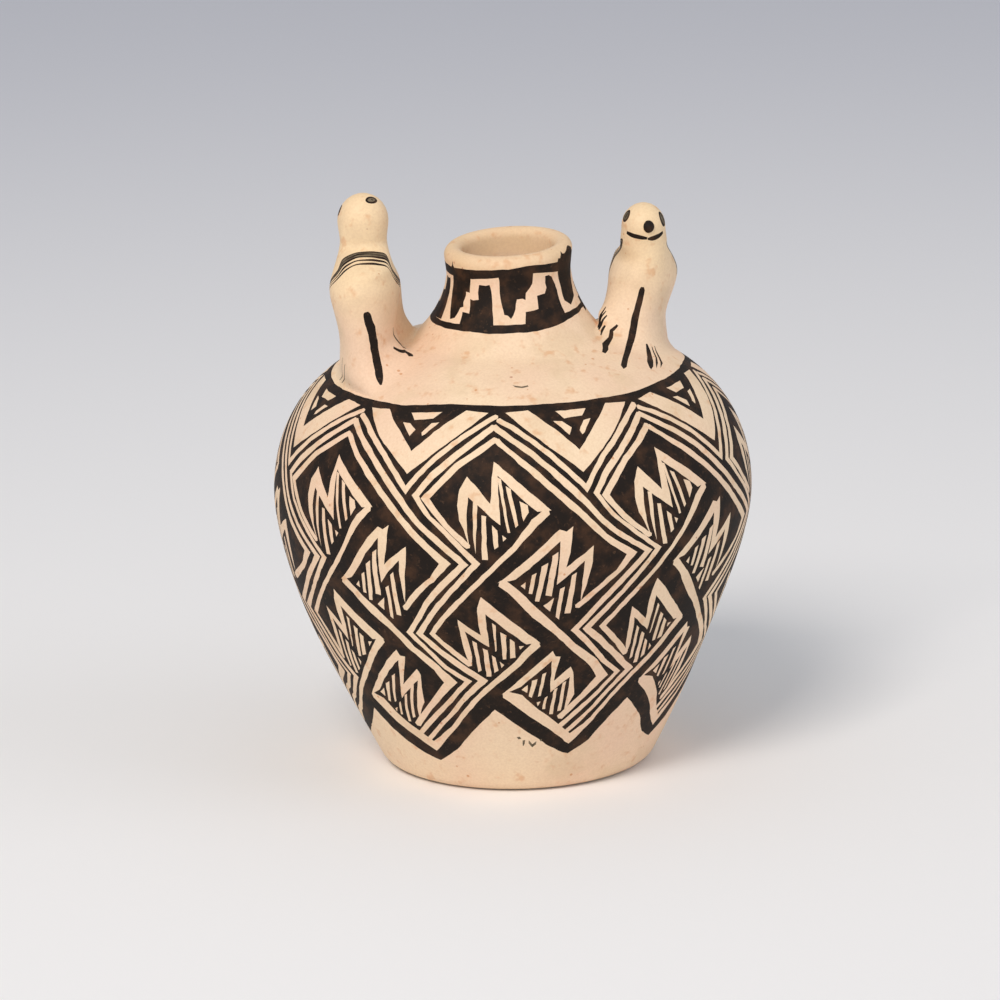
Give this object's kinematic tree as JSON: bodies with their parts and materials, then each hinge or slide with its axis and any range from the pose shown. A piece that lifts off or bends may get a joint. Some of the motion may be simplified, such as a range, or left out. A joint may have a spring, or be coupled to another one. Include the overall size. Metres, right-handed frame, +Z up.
{
  "type": "miniature jar",
  "caption": "Miniature painted clay jar with a full body, a closed-in shoulder, a short open neck and two small animal figures that face opposite ways on the shoulder.",
  "frame": {"origin": "centre of the flat foot, on the surface that the jar stands on", "axes": "+Z up along the axis of the body and neck; the two figures stand on the shoulder at -X and +X, and the one at +X faces -Y"},
  "size_m": [0.0476, 0.0476, 0.0584],
  "materials": {
    "fired_clay": "matt cream slip over fired clay, with brown-black mineral paint, unglazed"
  },
  "bodies": {
    "root": {"jar": "fired_clay"}
  },
  "joints": []
}
